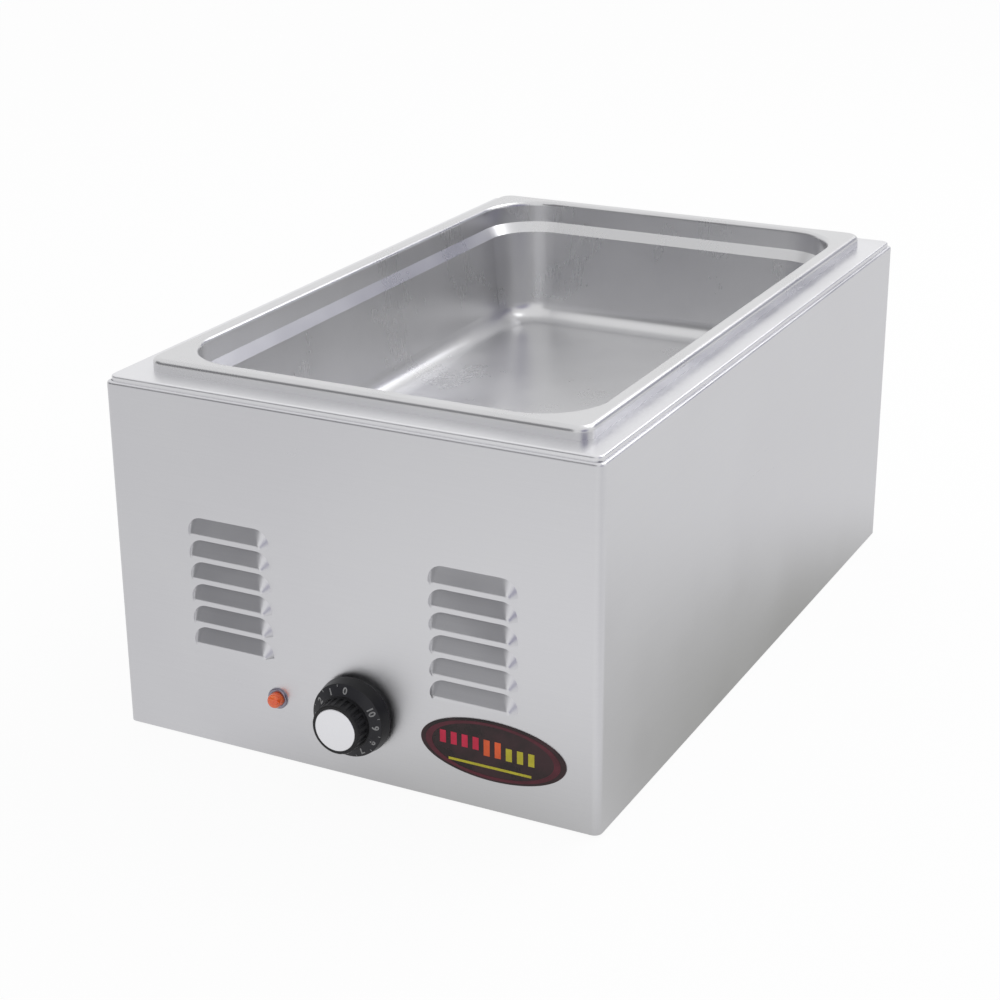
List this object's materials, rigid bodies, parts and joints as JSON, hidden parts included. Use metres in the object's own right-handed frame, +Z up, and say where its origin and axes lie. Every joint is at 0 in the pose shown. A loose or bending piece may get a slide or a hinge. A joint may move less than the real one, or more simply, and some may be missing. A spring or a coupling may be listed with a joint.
{
  "type": "food pan warmer",
  "caption": "Countertop food pan warmer: a bent sheet steel box with a louvered front, a dial knob, a pilot light and a lift-out full-size food pan over a heated water well.",
  "frame": {"origin": "middle of the footprint of the whole object, knob and gland included, at the counter", "axes": "+X to the right seen from the front, +Y to the back, +Z up"},
  "size_m": [0.365, 0.6122, 0.2672],
  "materials": {
    "housing_steel": "brushed stainless",
    "deck_steel": "polished stainless",
    "pan_steel": "drawn stainless",
    "well_steel": "drawn stainless",
    "galvanised_sheet": "dull zinc",
    "fastener_steel": "zinc plated",
    "spring_steel": "blued",
    "knob_black": "moulded, plain numbers",
    "cap_silver": "spun",
    "bezel_metal": "satin chrome",
    "lens_red": "translucent",
    "badge_print": "plain bars on black",
    "element_sheath": "heat darkened",
    "ceramic_white": "unglazed",
    "reflector_bright": "mill",
    "fibre_pad": "pressed fibre",
    "terminal_brass": "plain",
    "copper_tube": "plain copper",
    "phenolic_brown": "moulded",
    "block_white": "moulded",
    "gland_black": "moulded",
    "foot_rubber": "plain",
    "wire_black": "insulated wire",
    "wire_white": "insulated wire",
    "wire_red": "insulated wire",
    "wire_green": "insulated wire",
    "wire_yellow": "insulated wire"
  },
  "bodies": {
    "housing": {"outer_wrap": "housing_steel", "rear_panel": "housing_steel", "bottom_panel": "galvanised_sheet", "top_deck": "deck_steel", "deck_studs": "fastener_steel", "deck_nuts": "fastener_steel", "water_well": "well_steel", "rear_screws": "fastener_steel", "bottom_screws": "fastener_steel", "rubber_feet": "foot_rubber", "foot_screws": "fastener_steel", "foot_nuts": "fastener_steel", "dial_bezel": "bezel_metal", "pilot_bezel": "bezel_metal", "pilot_lens": "lens_red", "pilot_lamp": "block_white", "pilot_nut": "block_white", "badge_plate": "badge_print", "thermostat_body": "phenolic_brown", "thermostat_plate": "galvanised_sheet", "thermostat_screws": "fastener_steel", "thermostat_tabs": "terminal_brass", "heating_element": "element_sheath", "element_insulators": "ceramic_white", "element_tabs": "terminal_brass", "element_clamp_bars": "galvanised_sheet", "clamp_studs": "fastener_steel", "clamp_nuts": "fastener_steel", "heat_reflector": "reflector_bright", "reflector_standoffs": "fastener_steel", "reflector_screws": "fastener_steel", "insulation_left": "fibre_pad", "insulation_right": "fibre_pad", "insulation_front": "fibre_pad", "insulation_rear": "fibre_pad", "sensing_bulb": "copper_tube", "bulb_clips": "galvanised_sheet", "capillary_tube": "copper_tube", "cord_gland": "gland_black", "gland_nut": "gland_black", "terminal_block": "block_white", "block_screws": "fastener_steel", "earth_stud": "terminal_brass", "earth_nut": "terminal_brass", "spade_connectors": "terminal_brass", "ring_terminal": "terminal_brass", "line_wire": "wire_black", "neutral_wire": "wire_white", "load_wire": "wire_red", "earth_wire": "wire_green", "pilot_leads": "wire_yellow", "wire_clips": "galvanised_sheet"},
    "knob": {"control_knob": "knob_black", "knob_cap": "cap_silver", "knob_spring_clip": "spring_steel", "thermostat_shaft": "terminal_brass"},
    "pan": {"food_pan": "pan_steel"}
  },
  "joints": [
    {"name": "knob_turn", "type": "hinge", "parent": "housing", "child": "knob", "pos_m": [0.0063, -0.27695, 0.0507], "axis": [0, 1, 0], "range_deg": [0, 300]},
    {"name": "pan_lift", "type": "slide", "parent": "housing", "child": "pan", "axis": [0, 0, 1], "range_m": [0, 0.13]}
  ]
}
